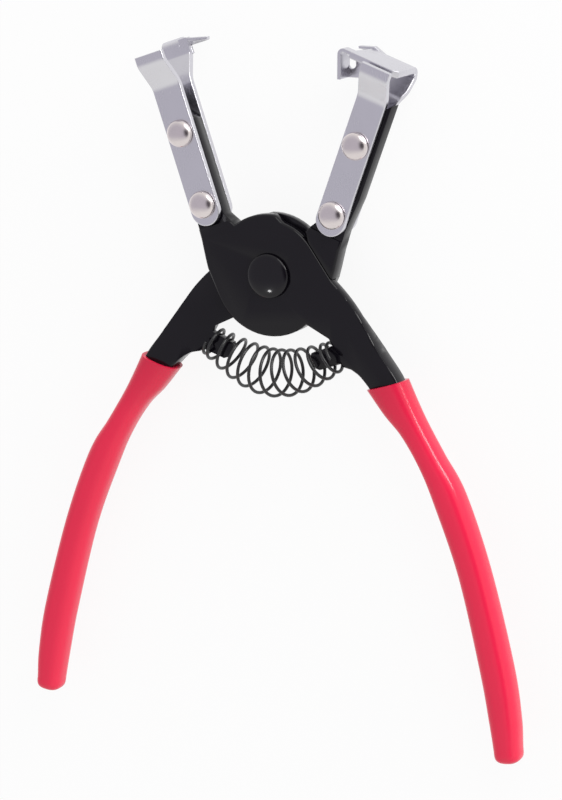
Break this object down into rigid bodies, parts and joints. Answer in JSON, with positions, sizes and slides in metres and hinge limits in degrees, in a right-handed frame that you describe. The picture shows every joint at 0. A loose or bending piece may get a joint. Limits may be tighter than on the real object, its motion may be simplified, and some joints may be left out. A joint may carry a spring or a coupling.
{
  "type": "hose clamp pliers",
  "caption": "Hose clamp pliers: black lap-jointed levers, cranked chrome sheet jaws with a hooked tip, a bowed return spring and dipped vinyl grips.",
  "frame": {"origin": "centre of the flat tail of the pivot rivet", "axes": "+X to the right jaw, +Y from the pivot towards the jaws, +Z along the pivot towards its domed head"},
  "size_m": [0.1782, 0.2285, 0.0232],
  "materials": {
    "front_lever": "black oxide with a satin sheen",
    "rear_lever": "black oxide with a satin sheen",
    "pivot_rivet": "black oxide with a satin sheen",
    "left_jaw_front": "satin chrome plate",
    "left_jaw_back": "satin chrome plate",
    "right_jaw_front": "satin chrome plate",
    "right_jaw_back": "satin chrome plate",
    "left_upper_rivet": "polished steel dome",
    "left_lower_rivet": "polished steel dome",
    "right_upper_rivet": "polished steel dome",
    "right_lower_rivet": "polished steel dome",
    "left_grip": "dipped vinyl with a soft gloss",
    "right_grip": "dipped vinyl with a soft gloss",
    "return_spring": "blackened spring wire"
  },
  "bodies": {
    "front_half": {"front_lever": "front_lever", "left_jaw_front": "left_jaw_front", "left_jaw_back": "left_jaw_back", "left_upper_rivet": "left_upper_rivet", "left_lower_rivet": "left_lower_rivet", "right_grip": "right_grip", "pivot_rivet": "pivot_rivet", "return_spring": "return_spring"},
    "rear_half": {"rear_lever": "rear_lever", "right_jaw_front": "right_jaw_front", "right_jaw_back": "right_jaw_back", "right_upper_rivet": "right_upper_rivet", "right_lower_rivet": "right_lower_rivet", "left_grip": "left_grip"}
  },
  "joints": [
    {"name": "pivot_hinge", "type": "hinge", "parent": "front_half", "child": "rear_half", "pos_m": [0, 0, 0.0051], "axis": [0, 0, 1], "range_deg": [0, 34], "stiffness_Nm_per_rad": 0.5, "springref_deg": -28.65, "deforming": ["return_spring"]}
  ]
}
